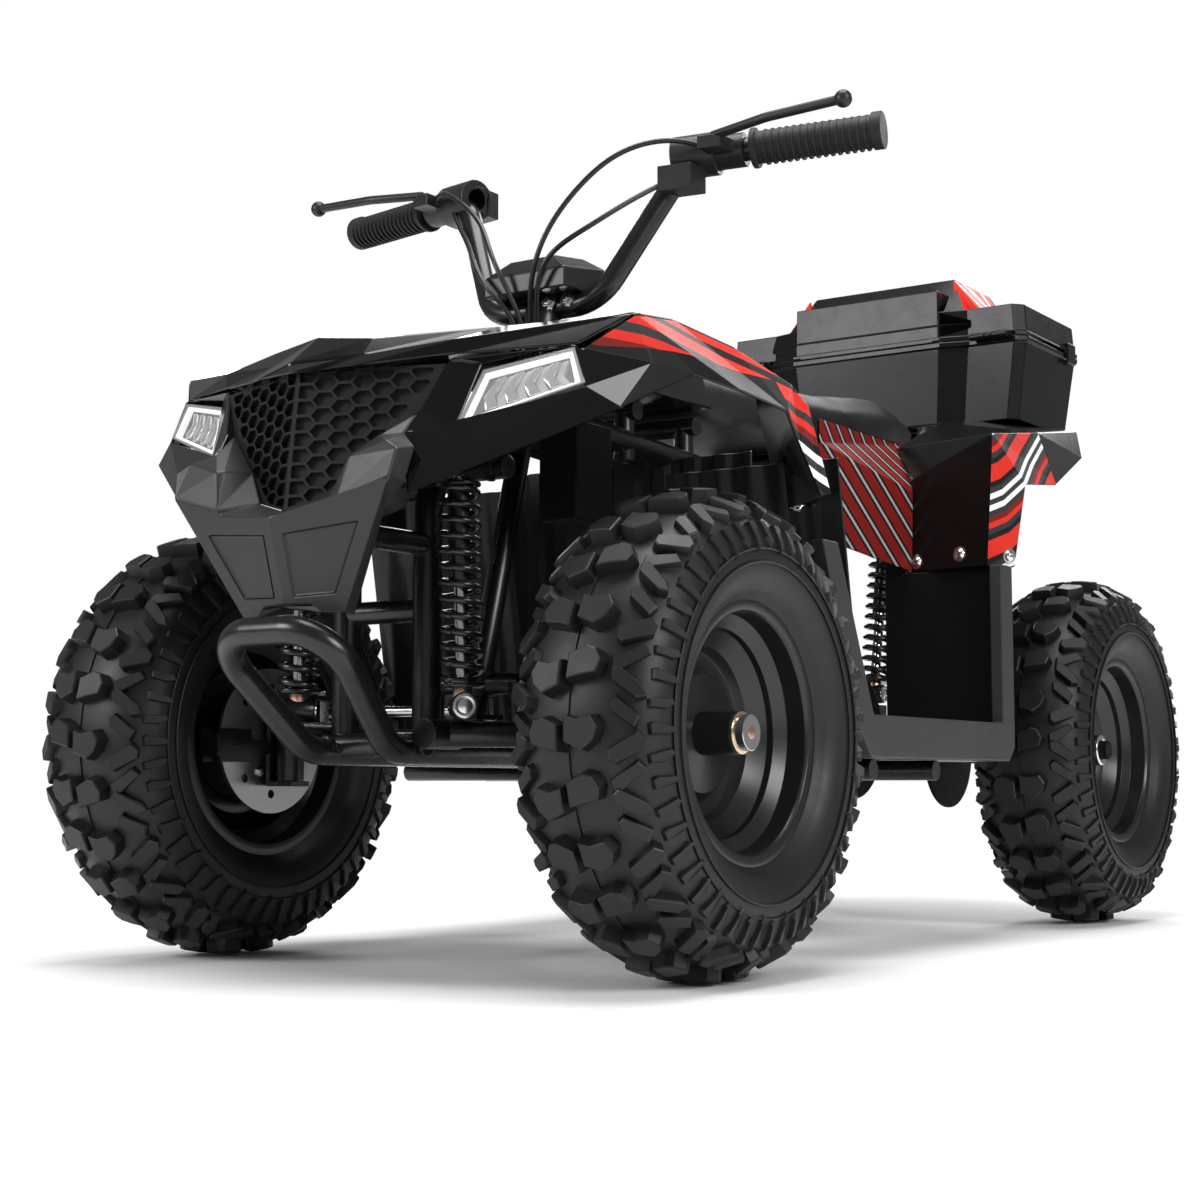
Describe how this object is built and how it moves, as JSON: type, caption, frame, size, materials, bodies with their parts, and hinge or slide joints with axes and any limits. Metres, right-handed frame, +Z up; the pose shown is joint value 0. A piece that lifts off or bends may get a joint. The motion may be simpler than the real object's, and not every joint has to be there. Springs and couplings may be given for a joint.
{
  "type": "quad bike",
  "caption": "Small utility quad bike with a tube frame, faceted plastic bodywork, knobby balloon tyres, solid rear axle and a hinged luggage box.",
  "frame": {"origin": "on the ground under the middle of the bounding box", "axes": "+X to the rider's left, +Y to the rear, +Z up"},
  "size_m": [0.672, 1.351, 0.8],
  "materials": {
    "tyre": "satin black rubber with a chunky tread",
    "wheel_black": "satin black paint on stamped steel",
    "disc_steel": "ground steel",
    "bright_steel": "plated steel",
    "black_steel": "satin black powder coat",
    "spring_black": "black springs on plated dampers",
    "grip_rubber": "soft black rubber",
    "control_plastic": "matt black plastic and painted levers",
    "satin_plastic": "satin black plastic",
    "engine_metal": "dark cast aluminium",
    "gloss_black": "gloss black plastic with red, white and grey stripes",
    "mask_grey": "satin dark grey plastic",
    "lamp_clear": "clear lens over a bright reflector",
    "rail_grey": "satin grey plastic",
    "panel_red": "dark red with grey slanted stripes",
    "seat_vinyl": "charcoal vinyl",
    "box_black": "semi-gloss black plastic",
    "cable_black": "black cable sheath"
  },
  "bodies": {
    "chassis": {"battery_box": "satin_plastic", "box_base": "box_black", "console": "gloss_black", "engine": "engine_metal", "foot_frame_left": "rail_grey", "foot_frame_right": "rail_grey", "footwell_left": "satin_plastic", "footwell_right": "satin_plastic", "frame": "black_steel", "front_arms": "black_steel", "front_fender_left": "gloss_black", "front_fender_right": "gloss_black", "front_mask": "mask_grey", "front_shocks": "spring_black", "grille": "satin_plastic", "headlights": "lamp_clear", "hood": "gloss_black", "nudge_bar": "black_steel", "rear_fender": "gloss_black", "rear_shock": "spring_black", "seat": "seat_vinyl", "side_panels": "panel_red", "swingarm": "black_steel"},
    "lid": {"box_lid": "box_black"},
    "steering": {"bar_pod": "satin_plastic", "control_cables": "cable_black", "controls_left": "control_plastic", "controls_right": "control_plastic", "grips": "grip_rubber", "handlebar": "black_steel"},
    "rear_wheels": {"rear_axle": "bright_steel", "rear_rim_left": "wheel_black", "rear_rim_right": "wheel_black", "rear_tyre_left": "tyre", "rear_tyre_right": "tyre"},
    "knuckle_left": {"front_knuckle_left": "black_steel"},
    "tie_rod_left": {"tie_rod_left": "bright_steel"},
    "front_wheel_left": {"front_tyre_left": "tyre", "front_rim_left": "wheel_black", "front_brake_disc_left": "disc_steel"},
    "knuckle_right": {"front_knuckle_right": "black_steel"},
    "tie_rod_right": {"tie_rod_right": "bright_steel"},
    "front_wheel_right": {"front_tyre_right": "tyre", "front_rim_right": "wheel_black", "front_brake_disc_right": "disc_steel"}
  },
  "joints": [
    {"name": "steer", "type": "hinge", "parent": "chassis", "child": "steering", "pos_m": [0, -0.3905, 0.225], "axis": [0, 0.2633, 0.9647], "range_deg": [-30, 30]},
    {"name": "rear_axle_spin", "type": "hinge", "parent": "chassis", "child": "rear_wheels", "pos_m": [0, 0.4725, 0.203], "axis": [1, 0, 0], "continuous": true},
    {"name": "lid_hinge", "type": "hinge", "parent": "chassis", "child": "lid", "pos_m": [0, 0.4165, 0.708], "axis": [1, 0, 0], "range_deg": [0, 80]},
    {"name": "left_knuckle_turn", "type": "hinge", "parent": "chassis", "child": "knuckle_left", "pos_m": [0.188, -0.4305, 0.203], "axis": [0, 0, 1], "range_deg": [-30, 30]},
    {"name": "left_tie_rod_turn", "type": "hinge", "parent": "knuckle_left", "child": "tie_rod_left", "pos_m": [0.188, -0.3855, 0.231], "axis": [0, 0, 1], "range_deg": [-30, 30]},
    {"name": "left_wheel_spin", "type": "hinge", "parent": "knuckle_left", "child": "front_wheel_left", "pos_m": [0.265, -0.4305, 0.203], "axis": [1, 0, 0], "continuous": true},
    {"name": "right_knuckle_turn", "type": "hinge", "parent": "chassis", "child": "knuckle_right", "pos_m": [-0.188, -0.4305, 0.203], "axis": [0, 0, 1], "range_deg": [-30, 30]},
    {"name": "right_tie_rod_turn", "type": "hinge", "parent": "knuckle_right", "child": "tie_rod_right", "pos_m": [-0.188, -0.3855, 0.231], "axis": [0, 0, 1], "range_deg": [-30, 30]},
    {"name": "right_wheel_spin", "type": "hinge", "parent": "knuckle_right", "child": "front_wheel_right", "pos_m": [-0.265, -0.4305, 0.203], "axis": [1, 0, 0], "continuous": true}
  ],
  "couplings": [
    {"joint": "left_knuckle_turn", "follows": "steer", "ratio": 1},
    {"joint": "left_tie_rod_turn", "follows": "steer", "ratio": -1},
    {"joint": "right_knuckle_turn", "follows": "steer", "ratio": 1},
    {"joint": "right_tie_rod_turn", "follows": "steer", "ratio": -1}
  ]
}
